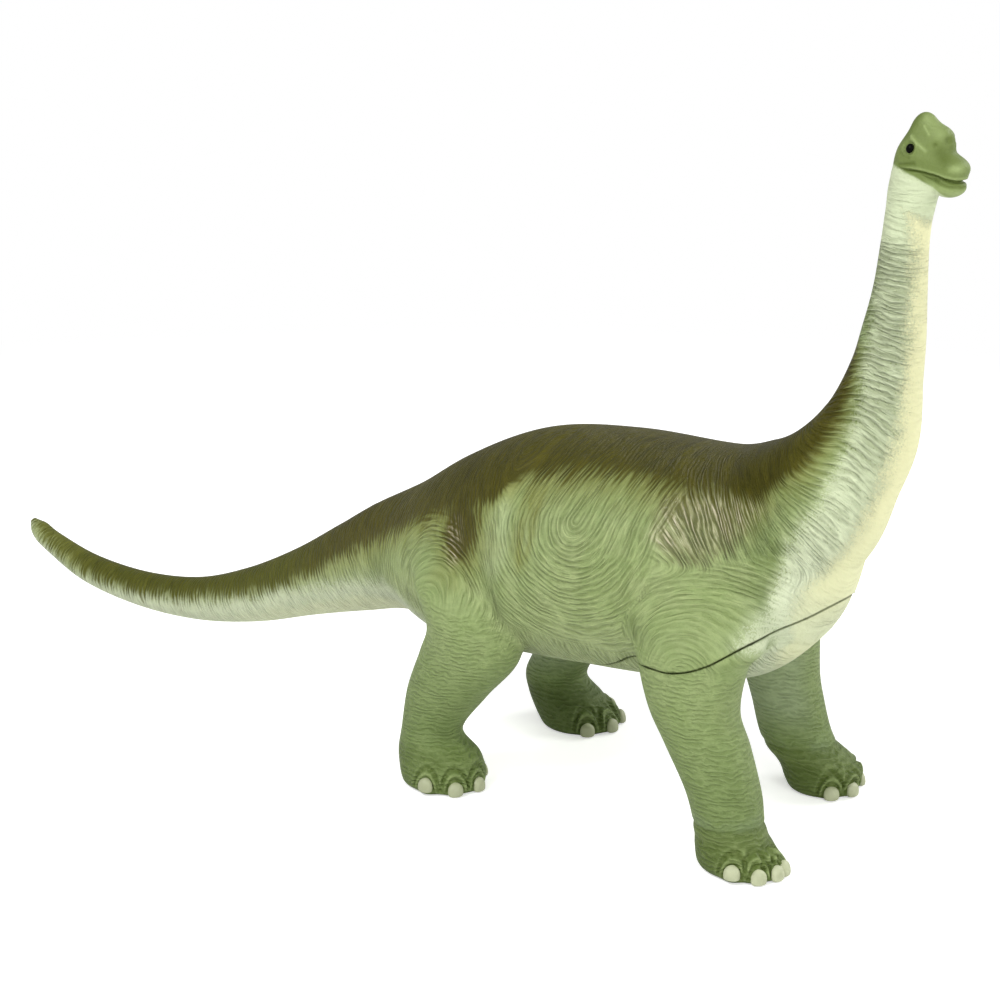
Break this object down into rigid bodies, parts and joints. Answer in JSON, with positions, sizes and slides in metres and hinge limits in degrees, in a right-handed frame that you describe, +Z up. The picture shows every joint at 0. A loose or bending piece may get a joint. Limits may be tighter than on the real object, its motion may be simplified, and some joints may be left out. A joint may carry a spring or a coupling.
{
  "type": "stuffed toy dinosaur",
  "caption": "Long-necked toy dinosaur with a soft vinyl skin over fibre stuffing, standing on its feet; flexes when squeezed.",
  "frame": {"origin": "on the floor under the middle of the toy's bounding box", "axes": "+X from the tail towards the snout, +Y to the animal's left, +Z up from the soles"},
  "size_m": [0.5102, 0.1298, 0.295],
  "materials": {
    "olive_vinyl": "satin",
    "leaf_vinyl": "satin",
    "cream_vinyl": "satin",
    "nail_cream": "satin",
    "black_gloss": "gloss",
    "fibre_stuffing": "matte"
  },
  "bodies": {
    "root": {"torso_skin": "olive_vinyl", "belly_skin": "cream_vinyl", "torso_filling": "fibre_stuffing", "neck_skin": "olive_vinyl", "neck_and_head_filling": "fibre_stuffing", "head_skin": "leaf_vinyl", "eye_right": "black_gloss", "eye_left": "black_gloss", "tail_skin": "olive_vinyl", "tail_filling": "fibre_stuffing", "fore_leg_right_skin": "leaf_vinyl", "fore_leg_right_filling": "fibre_stuffing", "fore_leg_left_skin": "leaf_vinyl", "fore_leg_left_filling": "fibre_stuffing", "hind_leg_right_skin": "leaf_vinyl", "hind_leg_right_filling": "fibre_stuffing", "hind_leg_left_skin": "leaf_vinyl", "hind_leg_left_filling": "fibre_stuffing", "claw_fore_right_1": "nail_cream", "claw_fore_right_2": "nail_cream", "claw_fore_right_3": "nail_cream", "claw_fore_right_4": "nail_cream", "claw_fore_left_1": "nail_cream", "claw_fore_left_2": "nail_cream", "claw_fore_left_3": "nail_cream", "claw_fore_left_4": "nail_cream", "claw_hind_right_1": "nail_cream", "claw_hind_right_2": "nail_cream", "claw_hind_right_3": "nail_cream", "claw_hind_right_4": "nail_cream", "claw_hind_left_1": "nail_cream", "claw_hind_left_2": "nail_cream", "claw_hind_left_3": "nail_cream", "claw_hind_left_4": "nail_cream"}
  },
  "joints": []
}
